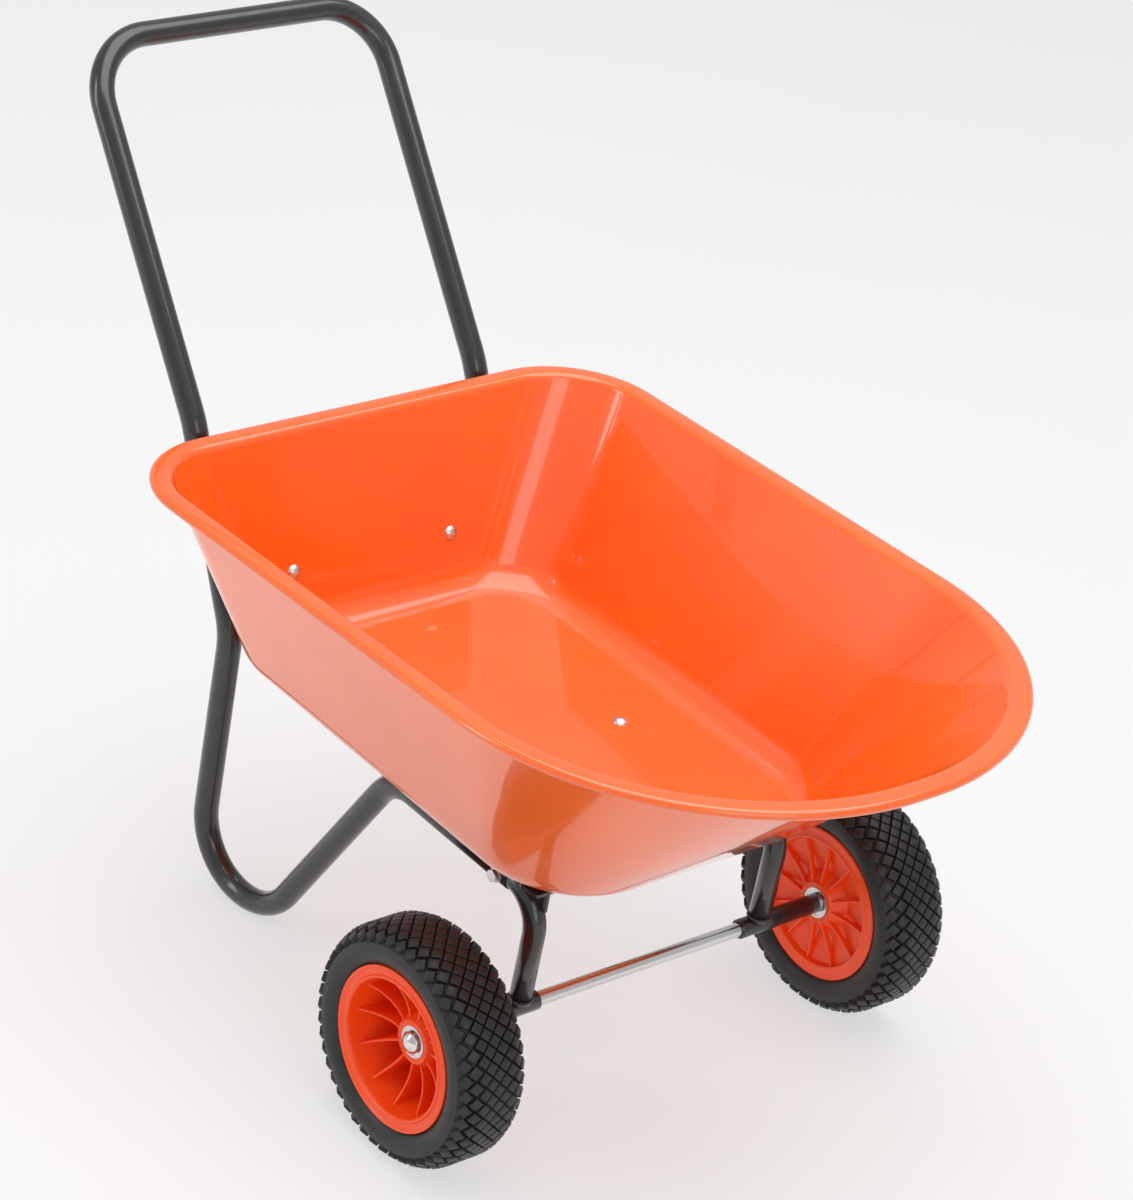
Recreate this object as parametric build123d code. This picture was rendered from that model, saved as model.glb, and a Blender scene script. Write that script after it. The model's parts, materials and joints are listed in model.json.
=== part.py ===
from build123d import *
import os
from math import asin, atan2, cos, hypot, radians, sin, tan

# Two-wheel garden wheelbarrow, in millimetres.
# The design frame has the axle above x = 0, +X towards the wheels, +Z up, ground at z = 0.
# At the end the whole is turned about its axle until the feet stand on the ground, and then
# moved along X, so that the origin is under the middle of the whole.
# The left side is +Y and the right side is -Y, as seen by the person who pushes.

# ---- wheels ----
TYRE_DIA = 260.0
TYRE_WIDTH = 84.0
TYRE_CROWN_HALF = 27.0          # half width of the nearly flat tread band
TYRE_SHOULDER_DROP = 12.0       # radius lost between crown and shoulder
TYRE_BEAD_WIDTH = 58.0
TRACK = 591.0                   # wheel centre to wheel centre
FLANGE_DIA = 178.0
FLANGE_HEIGHT = 12.0            # flange above the tyre seat
FLANGE_THICK = 3.5
RIM_WIDTH = 75.0
BARREL_WALL = 4.0
WEB_OUTBOARD = -16.0            # web faces at the hub, from the wheel's middle, outboard +
WEB_THICK = 4.0
WEB_RISE = 8.0                  # the web leans inboard by this much at the barrel
HUB_TIP_OUTER = 10.0            # hub ends, from the wheel's middle
HUB_TIP_INNER = -38.0
HUB_TIP_DIA = 47.0
HUB_ROOT_DIA = 70.0
SPOKE_COUNT = 12
SPOKE_THICK = 3.0
RIB_HUB_DROP = 3.0              # outboard rib's top below the hub's end, at the hub
RIB_WALL_H = 24.0               # outboard rib's top at the barrel, from the wheel's middle
RIB_SAG = 7.0                   # how far the rib's top sags between the two
SEAT_GAP = 0.1

# ---- axle and bearings ----
AXLE_DIA = 16.0
RUN_GAP = 0.05                  # radial gap of running fits
AXLE_PAST_WASHER = 3.3          # rod end inside the cap
BEARING_OD = 35.0
BEARING_W = 11.0
INNER_RACE_OD = 20.5
OUTER_RACE_ID = 29.5
BALL_DIA = 6.0
BALL_COUNT = 8
CAGE_THICK = 1.0
CAGE_W = 7.8
POCKET_DIA = 6.3
SHIELD_THICK = 0.6
SHIELD_INSET = 0.4
SHIELD_GAP = 0.35
AXLE_WASHER_OD = 20.4
AXLE_WASHER_T = 2.0
CAP_DIA = 25.0                  # domed push-on cap on each end of the axle
CAP_H = 7.0
CAP_WALL = 1.0
CAP_SPRING_OD = 21.2            # spring disc inside the cap, it grips the rod
SLEEVE_OD = 22.0
SLEEVE_BORE = 16.4
SLEEVE_INNER_END = 143.0        # distance of the sleeve's inner end from the middle

# ---- stance ----
STANCE = 1.9                    # degrees, the rear is raised by this turn about the axle

# ---- frame tubes ----
TUBE_OD = 28.0
TUBE_WALL = 1.5
SLIP_GAP = 0.1                  # radial gap between telescoped tubes
RAIL_Y = 168.0
RAIL_Z = 268.0                  # rail centre height
RAIL_REAR_X = -244.0            # corner between rail and rising leg tube
RAIL_BEND_R = 60.0
RAIL_END_X = -38.0
LEG_Y = 195.0
LEG_X = -517.0
FOOT_BEND_R = 77.0
STUB_BEND_Z = 301.0
STUB_BEND_R = 80.0
JOINT_X = -631.0                # corner between the stub and the handle
JOINT_Z = 508.0
STUB_END_BACK = 40.0            # stub ends this far before that corner
HANDLE_TOP_X = -905.0
HANDLE_TOP_Z = 837.5
HANDLE_Y = 195.0
HANDLE_CORNER_R = 75.0
JOINT_BEND_R = 120.0
SPIGOT_LEN = 80.0
SHOULDER_LEN = 4.0
DROP_INSERT = 55.0              # drop tube inside the rail
DROP_CORNER_X = 6.0
DROP_FOOT_X = 3.0               # lower end, just ahead of the axle's centre
DROP_BEND_R = 44.0

# ---- straps ----
STRAP_T = 4.0
STRAP_W = 30.0
STRAP_OVERHANG = 20.0           # strap past the rail's centre
FRONT_STRAP_X = 3.0
MID_STRAP_X = -205.0
REAR_STRAP_Z = 352.0
GUSSET_T = 4.0
GUSSET_DEPTH = 24.0

# ---- tray ----
SHEET = 1.2
INNER_FLOOR_INSET = 0.8         # these two keep the leaning walls about as thick as the sheet
INNER_RIM_INSET = 1.35
FLOOR_REAR = -510.0
FLOOR_FRONT = 54.0
FLOOR_HALF = 209.0
FLOOR_REAR_R = 78.0
FLOOR_FRONT_R = 105.0
FLOOR_BEND_R = 40.0
RIM_REAR = -573.0
RIM_FRONT = 311.0
RIM_HALF = 310.0
RIM_REAR_R = 93.0
RIM_FRONT_R = 300.0
RIM_Z = 536.0                   # rim height above the axle
RIM_RISE = 2.45                 # degrees, the rim climbs towards the front
LIP_OUT = 22.0
LIP_DROP = 11.0
LIP_EDGE_R = 6.0

# ---- fasteners ----
BOLT_DIA = 8.0
BOLT_HOLE = 8.6
HEX_AF = 13.0
HEX_HEAD_H = 5.3
NUT_H = 8.0
WASHER_OD = 17.0
WASHER_T = 1.6
DOME_DIA = 18.0
DOME_H = 4.4
TRAY_BOLT_Y = 110.0
THREAD_PAST_NUT = 3.0
FRONT_BOLT_X = -51.0
HANDLE_BOLT_SPACING = 34.0
HANDLE_BOLT_END = 20.0          # upper handle bolt below the stub's end

# ---- sizes that follow from those above ----
AXLE_Z = TYRE_DIA / 2
TUBE_R = TUBE_OD / 2
TUBE_ID = TUBE_OD - 2 * TUBE_WALL
SLIP_OD = TUBE_ID - 2 * SLIP_GAP
FLOOR_Z = RAIL_Z + TUBE_R + STRAP_T
WHEEL_Y = TRACK / 2
HUB_INNER_Y = WHEEL_Y + HUB_TIP_INNER
HUB_OUTER_Y = WHEEL_Y + HUB_TIP_OUTER
SLEEVE_OUTER_END = HUB_INNER_Y - AXLE_WASHER_T
CAP_Y = HUB_OUTER_Y + AXLE_WASHER_T
AXLE_HALF = CAP_Y + AXLE_PAST_WASHER
SIDES = {"left": 1, "right": -1}


# ---- helpers ----
def ring(outer_dia, inner_dia, length):
    """A hollow cylinder from z = 0 upwards."""
    bore = Cylinder(inner_dia / 2, length, align=(Align.CENTER, Align.CENTER, Align.MIN))
    body = Cylinder(outer_dia / 2, length, align=(Align.CENTER, Align.CENTER, Align.MIN))
    return body - bore


def rod(dia, length):
    """A solid cylinder from z = 0 upwards."""
    return Cylinder(dia / 2, length, align=(Align.CENTER, Align.CENTER, Align.MIN))


def aim(point, direction):
    """Location at a point, with local +Z along a direction."""
    return Plane(origin=point, z_dir=direction).location


def outward(side, y, x=0.0, z=AXLE_Z):
    """Location on one side at distance y from the middle, local +Z pointing outboard."""
    return aim((x, side * y, z), (0, side, 0))


def tube(path, outer_dia, inner_dia):
    """A round tube along a path."""
    start = Plane(origin=path @ 0, z_dir=path % 0)
    section = start * (Circle(outer_dia / 2) - Circle(inner_dia / 2))
    return sweep(section, path=path)


def bar(path, dia):
    """The solid core of a tube, for cutting."""
    start = Plane(origin=path @ 0, z_dir=path % 0)
    return sweep(start * Circle(dia / 2), path=path)


def hex_bolt(length):
    """Hex bolt, the head's seat at z = 0, the shank downwards."""
    head = extrude(RegularPolygon(HEX_AF / 2, 6, major_radius=False), HEX_HEAD_H)
    return head + Pos(0, 0, -length) * rod(BOLT_DIA, length)


def dome(dia, height):
    """Solid dome that stands on z = 0."""
    dome_r = (dia ** 2 / 4 + height ** 2) / (2 * height)
    return Pos(0, 0, height - dome_r) * Sphere(dome_r) & rod(dia, height)


def carriage_bolt(length):
    """Dome-headed bolt, the head's seat at z = 0, the shank downwards."""
    return dome(DOME_DIA, DOME_H) + Pos(0, 0, -length) * rod(BOLT_DIA, length)


def axle_cap():
    """Pressed steel cap, its mouth at z = 0."""
    return dome(CAP_DIA, CAP_H) - dome(CAP_DIA - 2 * CAP_WALL, CAP_H - CAP_WALL)


def nut():
    """Lock nut with its seat at z = 0, upwards."""
    body = extrude(RegularPolygon(HEX_AF / 2, 6, major_radius=False), NUT_H)
    return body - rod(BOLT_DIA + 2 * RUN_GAP, NUT_H)


def washer():
    """Plain washer from z = 0 upwards."""
    return ring(WASHER_OD, BOLT_DIA + 2 * SLIP_GAP, WASHER_T)


# ---- wheel parts, outboard along +Z, wheel middle at z = 0 ----
def tyre():
    """Solid foam tyre with a flat tread band and rounded shoulders."""
    crown_r = TYRE_DIA / 2
    shoulder_r = crown_r - TYRE_SHOULDER_DROP
    seat_r = FLANGE_DIA / 2 - FLANGE_HEIGHT + SEAT_GAP
    flange_r = FLANGE_DIA / 2 + SEAT_GAP
    half = TYRE_WIDTH / 2
    bead = RIM_WIDTH / 2 - FLANGE_THICK - SEAT_GAP
    wall_r = (shoulder_r + flange_r) / 2
    outline = Polyline((seat_r, -bead), (seat_r, bead), (flange_r, bead))
    outline += Spline((flange_r, bead), (wall_r, half), (shoulder_r, half - 5), (crown_r, TYRE_CROWN_HALF))
    outline += Line((crown_r, TYRE_CROWN_HALF), (crown_r, -TYRE_CROWN_HALF))
    outline += Spline((crown_r, -TYRE_CROWN_HALF), (shoulder_r, 5 - half), (wall_r, -half), (flange_r, -bead))
    outline += Line((flange_r, -bead), (seat_r, -bead))
    section = Plane.XZ * make_face(outline)
    return revolve(section, Axis.Z)


def rim():
    """Moulded rim: barrel with two flanges, leaning web, conical hub and ribs."""
    flange_r = FLANGE_DIA / 2
    seat_r = flange_r - FLANGE_HEIGHT
    inner_r = seat_r - BARREL_WALL
    half = RIM_WIDTH / 2
    web_out = WEB_OUTBOARD
    web_in = WEB_OUTBOARD - WEB_THICK
    bore_r = BEARING_OD / 2 + 0.02
    core_r = BEARING_OD / 2 - 2
    tip_r = HUB_TIP_DIA / 2
    root_r = HUB_ROOT_DIA / 2
    barrel = make_face(Polyline(
        (inner_r, -half), (flange_r, -half), (flange_r, FLANGE_THICK - half), (seat_r, FLANGE_THICK - half),
        (seat_r, half - FLANGE_THICK), (flange_r, half - FLANGE_THICK), (flange_r, half), (inner_r, half),
        close=True))
    web = make_face(Polyline(
        (root_r - 2, web_in), (inner_r + 1, web_in - WEB_RISE), (inner_r + 1, web_out - WEB_RISE),
        (root_r - 2, web_out), close=True))
    hub = make_face(Polyline(
        (bore_r, HUB_TIP_OUTER), (tip_r, HUB_TIP_OUTER), (root_r, web_out), (root_r, web_in),
        (tip_r, HUB_TIP_INNER), (bore_r, HUB_TIP_INNER), (bore_r, HUB_TIP_INNER + BEARING_W),
        (core_r, HUB_TIP_INNER + BEARING_W), (core_r, HUB_TIP_OUTER - BEARING_W),
        (bore_r, HUB_TIP_OUTER - BEARING_W), close=True))
    body = revolve(Plane.XZ * (barrel + web + hub), Axis.Z)
    hub_top = HUB_TIP_OUTER - RIB_HUB_DROP
    sagged = ((tip_r + inner_r) / 2, (hub_top + RIB_WALL_H) / 2 - RIB_SAG)
    rib_outline = ThreePointArc((tip_r, hub_top), sagged, (inner_r + 1, RIB_WALL_H))
    rib_outline += Polyline(
        (inner_r + 1, RIB_WALL_H), (inner_r + 1, web_out - WEB_RISE - 1), (tip_r, web_out - 1),
        (tip_r, hub_top))
    outer_rib = make_face(rib_outline)
    inner_rib = make_face(Polyline(
        (tip_r, HUB_TIP_INNER + 1), (inner_r + 1, 3 - half), (inner_r + 1, web_in - WEB_RISE + 1),
        (tip_r, web_in + 1), close=True))
    ribs = extrude(Plane.XZ * (outer_rib + inner_rib), SPOKE_THICK / 2, both=True)
    for index in range(SPOKE_COUNT):
        body += Rot(0, 0, index * 360 / SPOKE_COUNT) * ribs
    return body


def bearing_spots():
    """Low faces of the two bearings in the hub, from the wheel's middle."""
    return (HUB_TIP_INNER, HUB_TIP_OUTER - BEARING_W)


def ball_track():
    """Ring that the balls run in."""
    pitch_r = (INNER_RACE_OD + OUTER_RACE_ID) / 4
    return Pos(0, 0, BEARING_W / 2) * Torus(pitch_r, BALL_DIA / 2 + RUN_GAP)


def balls():
    """The ball set of one bearing."""
    pitch_r = (INNER_RACE_OD + OUTER_RACE_ID) / 4
    spots = [Rot(0, 0, i * 360 / BALL_COUNT) * Pos(pitch_r, 0, BEARING_W / 2) for i in range(BALL_COUNT)]
    return [spot * Sphere(BALL_DIA / 2) for spot in spots]


def bearing_pieces():
    """Outer ring, inner ring, cage and shields of one bearing."""
    shield_seat = SHIELD_INSET + SHIELD_THICK
    outer = ring(BEARING_OD, OUTER_RACE_ID, BEARING_W) - ball_track()
    inner = ring(INNER_RACE_OD, AXLE_DIA + 2 * RUN_GAP, BEARING_W) - ball_track()
    pitch_dia = (INNER_RACE_OD + OUTER_RACE_ID) / 2
    cage = Pos(0, 0, (BEARING_W - CAGE_W) / 2) * ring(pitch_dia + CAGE_THICK, pitch_dia - CAGE_THICK, CAGE_W)
    for index in range(BALL_COUNT):
        pocket = Pos(pitch_dia / 2, 0, BEARING_W / 2) * Rot(0, 90, 0) * Cylinder(POCKET_DIA / 2, 4 * CAGE_THICK)
        cage -= Rot(0, 0, index * 360 / BALL_COUNT) * pocket
    disc = ring(OUTER_RACE_ID, INNER_RACE_OD + 2 * SHIELD_GAP, SHIELD_THICK)
    shields = [Pos(0, 0, SHIELD_INSET) * disc, Pos(0, 0, BEARING_W - shield_seat) * disc]
    return outer, inner, cage, shields


# ---- frame paths ----
def foot_centre_z():
    """Height of the foot bend's centre that lets the tube touch the ground once the whole is turned."""
    span = hypot(RAIL_REAR_X - LEG_X, RAIL_Y - LEG_Y)
    centre_x = LEG_X + FOOT_BEND_R * (RAIL_REAR_X - LEG_X) / span
    turn = radians(STANCE)
    ground_z = AXLE_Z - (AXLE_Z - centre_x * sin(turn)) / cos(turn)
    return ground_z + (FOOT_BEND_R + TUBE_R) / cos(turn)


def foot_corner_z():
    """Height of the leg's lower corner, where the lines of the standing and the rising leg meet."""
    run = hypot(RAIL_REAR_X - LEG_X, RAIL_Y - LEG_Y) - FOOT_BEND_R
    rise = RAIL_Z - foot_centre_z()
    slope = atan2(rise, run) + asin(FOOT_BEND_R / hypot(run, rise))
    return RAIL_Z - (run + FOOT_BEND_R) * tan(slope)


def stub_direction():
    """Unit vector up the stub, in the X-Z plane."""
    return Vector(JOINT_X - LEG_X, 0, JOINT_Z - STUB_BEND_Z).normalized()


def stub_end(side, back=STUB_END_BACK):
    """Point on the stub's centre line, a distance before the joint corner."""
    return Vector(JOINT_X, side * HANDLE_Y, JOINT_Z) - stub_direction() * back


def side_frame_path(side):
    """Stub, standing leg, foot bend, rising leg and rail, as one bent tube."""
    return FilletPolyline(
        stub_end(side),
        (LEG_X, side * LEG_Y, STUB_BEND_Z),
        (LEG_X, side * LEG_Y, foot_corner_z()),
        (RAIL_REAR_X, side * RAIL_Y, RAIL_Z),
        (RAIL_END_X, side * RAIL_Y, RAIL_Z),
        radius=(STUB_BEND_R, FOOT_BEND_R, RAIL_BEND_R))


def handle_path():
    """Centre line of the handle loop between its two shoulders."""
    return FilletPolyline(
        stub_end(-1),
        (JOINT_X, -HANDLE_Y, JOINT_Z),
        (HANDLE_TOP_X, -HANDLE_Y, HANDLE_TOP_Z),
        (HANDLE_TOP_X, HANDLE_Y, HANDLE_TOP_Z),
        (JOINT_X, HANDLE_Y, JOINT_Z),
        stub_end(1),
        radius=(JOINT_BEND_R, HANDLE_CORNER_R, HANDLE_CORNER_R, JOINT_BEND_R))


def drop_path(side):
    """Centre line of a drop tube, from inside the rail down to the axle."""
    return FilletPolyline(
        (RAIL_END_X - DROP_INSERT, side * RAIL_Y, RAIL_Z),
        (DROP_CORNER_X, side * RAIL_Y, RAIL_Z),
        (DROP_FOOT_X, side * RAIL_Y, AXLE_Z),
        radius=(DROP_BEND_R,))


# ---- bolt places ----
def handle_bolt_points(side):
    """Centres of the two bolts through stub and handle spigot."""
    first = STUB_END_BACK + HANDLE_BOLT_END
    return [stub_end(side, first), stub_end(side, first + HANDLE_BOLT_SPACING)]


def cross_hole(point):
    """Cutter for a bolt hole along Y."""
    return Pos(point) * Rot(90, 0, 0) * Cylinder(BOLT_HOLE / 2, 2 * TUBE_OD)


# ---- frame pieces ----
def side_frame(side):
    body = tube(side_frame_path(side), TUBE_OD, TUBE_ID)
    body -= cross_hole(Vector(FRONT_BOLT_X, side * RAIL_Y, RAIL_Z))
    for point in handle_bolt_points(side):
        body -= cross_hole(point)
    return body


def handle_loop():
    """Bent loop with a swaged spigot at each end."""
    body = tube(handle_path(), TUBE_OD, TUBE_ID)
    bore = SLIP_OD - 2 * TUBE_WALL
    for side in SIDES.values():
        down = -stub_direction()
        body += aim(stub_end(side), -down) * ring(TUBE_OD, bore, SHOULDER_LEN)
        body += aim(stub_end(side) + down * SPIGOT_LEN, -down) * ring(SLIP_OD, bore, SPIGOT_LEN + SHOULDER_LEN)
        for point in handle_bolt_points(side):
            body -= cross_hole(point)
    return body


def drop_tube(side):
    """Drop tube, its lower end cut to saddle the axle sleeve."""
    body = tube(drop_path(side), SLIP_OD, SLIP_OD - 2 * TUBE_WALL)
    body -= outward(side, RAIL_Y - TUBE_OD) * rod(SLEEVE_OD, 2 * TUBE_OD)
    return body - cross_hole(Vector(FRONT_BOLT_X, side * RAIL_Y, RAIL_Z))


def axle_sleeve(side):
    length = SLEEVE_OUTER_END - SLEEVE_INNER_END
    return outward(side, SLEEVE_INNER_END) * ring(SLEEVE_OD, SLEEVE_BORE, length)


def flat_strap(x):
    """Flat bar across both rails, under the tray floor, with two bolt holes."""
    length = 2 * (RAIL_Y + STRAP_OVERHANG)
    body = Pos(x, 0, FLOOR_Z - STRAP_T / 2) * Box(STRAP_W, length, STRAP_T)
    body = fillet(body.edges().filter_by(Axis.Z), STRAP_W / 5)
    for y in (-TRAY_BOLT_Y, TRAY_BOLT_Y):
        body -= Pos(x, y, FLOOR_Z) * Cylinder(BOLT_HOLE / 2, 4 * STRAP_T)
    return body


def gusset(side):
    """Upright plate that carries the front strap on the bend of the drop tube."""
    top = FLOOR_Z - STRAP_T
    back = FRONT_STRAP_X - STRAP_W / 2 + 2
    front = FRONT_STRAP_X + STRAP_W / 2 - 2
    outline = Polyline((back, top), (front, top), (front, top - GUSSET_DEPTH), (back, top - GUSSET_DEPTH), close=True)
    plate = extrude(Plane.XZ * make_face(outline), GUSSET_T / 2, both=True)
    plate = Pos(0, side * RAIL_Y, 0) * plate - bar(drop_path(side), SLIP_OD)
    return plate.solids().sort_by(Axis.X)[-1] if len(plate.solids()) > 1 else plate


def wall_lean():
    """Angle of the tray's rear wall from upright, in radians."""
    tilt = radians(RIM_RISE)
    return atan2(FLOOR_REAR - RIM_REAR * cos(tilt), RIM_Z + RIM_REAR * sin(tilt) - FLOOR_Z)


def rear_wall_x(z):
    """X of the rear wall's outer face at height z."""
    return FLOOR_REAR - (z - FLOOR_Z) * tan(wall_lean())


def rear_wall_normal():
    """Unit vector out of the rear wall, backwards and down."""
    return Vector(-cos(wall_lean()), 0, -sin(wall_lean()))


def rear_strap():
    """Flat bar between the stubs, flat against the tray's rear wall."""
    face = Plane(origin=(rear_wall_x(REAR_STRAP_Z), 0, REAR_STRAP_Z), x_dir=(0, 1, 0), z_dir=rear_wall_normal())
    body = extrude(face * Rectangle(2 * LEG_Y, STRAP_W), STRAP_T)
    for side in SIDES.values():
        body -= bar(side_frame_path(side), TUBE_OD)
    body = body.solids().sort_by(SortBy.VOLUME)[-1]
    for y in (-TRAY_BOLT_Y, TRAY_BOLT_Y):
        body -= face * Pos(y, 0, 0) * Cylinder(BOLT_HOLE / 2, 4 * STRAP_T)
    return body


# ---- tray ----
def rim_plane():
    """Plane of the tray's rim."""
    tilt = radians(RIM_RISE)
    return Plane(origin=(0, 0, RIM_Z), x_dir=(cos(tilt), 0, sin(tilt)), z_dir=(-sin(tilt), 0, cos(tilt)))


def basin_outline(rear, front, half, rear_r, front_r, grow=0.0):
    """Rounded outline: small corners at the rear, large ones at the front."""
    outline = Polyline(
        (rear - grow, -half - grow), (front + grow, -half - grow),
        (front + grow, half + grow), (rear - grow, half + grow), close=True)
    shape = make_face(outline)
    shape = fillet(shape.vertices().sort_by(Axis.X)[:2], rear_r + grow)
    corners = [v for v in shape.vertices() if v.X > front + grow - 0.01]
    return fillet(corners, front_r + grow)


def rim_outline(grow=0.0):
    """Rim outline in the rim's own plane."""
    return basin_outline(RIM_REAR, RIM_FRONT, RIM_HALF, RIM_REAR_R, RIM_FRONT_R, grow)


def floor_outline(z, grow=0.0):
    """Floor outline at height z."""
    shape = basin_outline(FLOOR_REAR, FLOOR_FRONT, FLOOR_HALF, FLOOR_REAR_R, FLOOR_FRONT_R, grow)
    return Pos(0, 0, z) * shape


def basin(floor_lift=0.0, floor_inset=0.0, rim_inset=0.0):
    """Solid block of the basin's shape, or of the room inside it."""
    bottom = floor_outline(FLOOR_Z + floor_lift, -floor_inset)
    top = rim_plane() * rim_outline(-rim_inset)
    block = loft([bottom, top], ruled=True)
    floor = block.faces().sort_by(Axis.Z)[0]
    return fillet(floor.edges(), FLOOR_BEND_R - floor_lift)


def lip_block(inset):
    """Solid plate of the lip's outer shape with its top edge rounded, in the rim's plane."""
    block = Pos(0, 0, -inset) * extrude(rim_outline(LIP_OUT - inset), -LIP_DROP)
    return fillet(block.faces().sort_by(Axis.Z)[-1].edges(), LIP_EDGE_R - inset)


def tray():
    """Pressed steel basin with a wide rolled lip."""
    place = rim_plane().location
    lip = place * (lip_block(0) - lip_block(SHEET))
    mouth = place * extrude(rim_outline(-INNER_RIM_INSET), LIP_DROP)
    room = basin(SHEET, INNER_FLOOR_INSET, INNER_RIM_INSET)
    body = basin() + lip - room - mouth
    for point, normal_out in tray_bolt_points():
        body -= aim(point, normal_out) * Cylinder(BOLT_HOLE / 2, 4 * STRAP_T)
    return body


def tray_bolt_points():
    """Where each tray bolt leaves the basin's outer face, and the direction out of it."""
    points = []
    for y in (-TRAY_BOLT_Y, TRAY_BOLT_Y):
        points.append((Vector(FRONT_STRAP_X, y, FLOOR_Z), Vector(0, 0, -1)))
        points.append((Vector(MID_STRAP_X, y, FLOOR_Z), Vector(0, 0, -1)))
        points.append((Vector(rear_wall_x(REAR_STRAP_Z), y, REAR_STRAP_Z), rear_wall_normal()))
    return points


def tray_fasteners():
    """Carriage bolts from inside the tray, washers and nuts behind the straps."""
    bolts = []
    washers = []
    nuts = []
    grip = SHEET + STRAP_T + WASHER_T + NUT_H + THREAD_PAST_NUT
    for point, out in tray_bolt_points():
        bolts.append(aim(point - out * SHEET, -out) * carriage_bolt(grip))
        washers.append(aim(point + out * STRAP_T, out) * washer())
        nuts.append(aim(point + out * (STRAP_T + WASHER_T), out) * nut())
    return bolts, washers, nuts


def cross_fasteners(centres):
    """Hex bolts along Y through 28 mm tubes, with washers and nuts; heads outboard."""
    bolts = []
    washers = []
    nuts = []
    grip = TUBE_OD + 2 * WASHER_T + NUT_H + THREAD_PAST_NUT
    for centre in centres:
        side = 1 if centre.Y > 0 else -1
        head = outward(side, abs(centre.Y) + TUBE_R + WASHER_T, centre.X, centre.Z)
        bolts.append(head * hex_bolt(grip))
        washers.append(outward(side, abs(centre.Y) + TUBE_R, centre.X, centre.Z) * washer())
        inner = aim((centre.X, centre.Y - side * TUBE_R, centre.Z), (0, -side, 0))
        washers.append(inner * washer())
        nuts.append(inner * Pos(0, 0, WASHER_T) * nut())
    return bolts, washers, nuts


# ---- output ----
def all_nodes():
    """Every node of the wheelbarrow in the design frame."""
    nodes = {}
    nodes["tray"] = tray()
    nodes["handle_loop"] = handle_loop()
    nodes["front_strap"] = flat_strap(FRONT_STRAP_X)
    nodes["mid_strap"] = flat_strap(MID_STRAP_X)
    nodes["rear_strap"] = rear_strap()
    nodes["front_gussets"] = [gusset(side) for side in SIDES.values()]
    nodes["axle"] = outward(1, -AXLE_HALF) * chamfer(rod(AXLE_DIA, 2 * AXLE_HALF).edges(), 1.5)
    nodes["hub_spacers"] = []
    nodes["axle_washers"] = []
    nodes["axle_caps"] = []
    nodes["axle_cap_springs"] = []
    outer, inner, cage, shields = bearing_pieces()
    wheel_tyre = tyre()
    wheel_rim = rim()
    spacer_len = HUB_TIP_OUTER - HUB_TIP_INNER - 2 * BEARING_W
    bore = AXLE_DIA + 2 * RUN_GAP
    for name, side in SIDES.items():
        middle = outward(side, WHEEL_Y)
        spots = [middle * Pos(0, 0, spot) for spot in bearing_spots()]
        nodes[f"{name}_side_frame"] = side_frame(side)
        nodes[f"{name}_drop_tube"] = drop_tube(side)
        nodes[f"{name}_axle_sleeve"] = axle_sleeve(side)
        nodes[f"{name}_tyre"] = middle * wheel_tyre
        nodes[f"{name}_rim"] = middle * wheel_rim
        nodes[f"{name}_bearing_outer_rings"] = [spot * outer for spot in spots]
        nodes[f"{name}_bearing_inner_rings"] = [spot * inner for spot in spots]
        nodes[f"{name}_bearing_cages"] = [spot * cage for spot in spots]
        nodes[f"{name}_bearing_balls"] = [spot * ball for spot in spots for ball in balls()]
        nodes[f"{name}_bearing_shields"] = [spot * shield for spot in spots for shield in shields]
        nodes["hub_spacers"].append(outward(side, HUB_INNER_Y + BEARING_W) * ring(INNER_RACE_OD, bore, spacer_len))
        nodes["axle_washers"].append(outward(side, SLEEVE_OUTER_END) * ring(AXLE_WASHER_OD, bore, AXLE_WASHER_T))
        nodes["axle_washers"].append(outward(side, HUB_OUTER_Y) * ring(AXLE_WASHER_OD, bore, AXLE_WASHER_T))
        nodes["axle_caps"].append(outward(side, CAP_Y) * axle_cap())
        nodes["axle_cap_springs"].append(outward(side, CAP_Y) * ring(CAP_SPRING_OD, bore, CAP_WALL))
    bolts, washers, nuts = tray_fasteners()
    nodes["tray_bolts"], nodes["tray_washers"], nodes["tray_nuts"] = bolts, washers, nuts
    joints = [point for side in SIDES.values() for point in handle_bolt_points(side)]
    bolts, washers, nuts = cross_fasteners(joints)
    nodes["handle_bolts"], nodes["handle_washers"], nodes["handle_nuts"] = bolts, washers, nuts
    rail_joints = [Vector(FRONT_BOLT_X, side * RAIL_Y, RAIL_Z) for side in SIDES.values()]
    bolts, washers, nuts = cross_fasteners(rail_joints)
    nodes["front_bolts"], nodes["front_washers"], nodes["front_nuts"] = bolts, washers, nuts
    return nodes


def stand(nodes):
    """Turns every node about the axle until the feet stand, and centres the whole along X."""
    turn = Pos(0, 0, AXLE_Z) * Rot(0, STANCE, 0) * Pos(0, 0, -AXLE_Z)
    front = (turn * nodes["tray"]).bounding_box().max.X
    rear = (turn * nodes["handle_loop"]).bounding_box().min.X
    place = Pos(-(front + rear) / 2, 0, 0) * turn
    turned = {}
    for name, shape in nodes.items():
        pieces = shape if isinstance(shape, list) else [shape]
        turned[name] = [place * solid for piece in pieces for solid in piece.solids()]
    return turned


def write_all():
    os.makedirs("parts", exist_ok=True)
    for name, solids in stand(all_nodes()).items():
        export_step(solids[0] if len(solids) == 1 else Compound(children=solids), f"parts/{name}.step")


write_all()
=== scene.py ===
import json
from collections import namedtuple
from math import atan2, ceil, copysign, cos, hypot, pi, radians, sin, sqrt, tan

import bmesh
import bpy
from mathutils import Matrix, Vector


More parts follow.
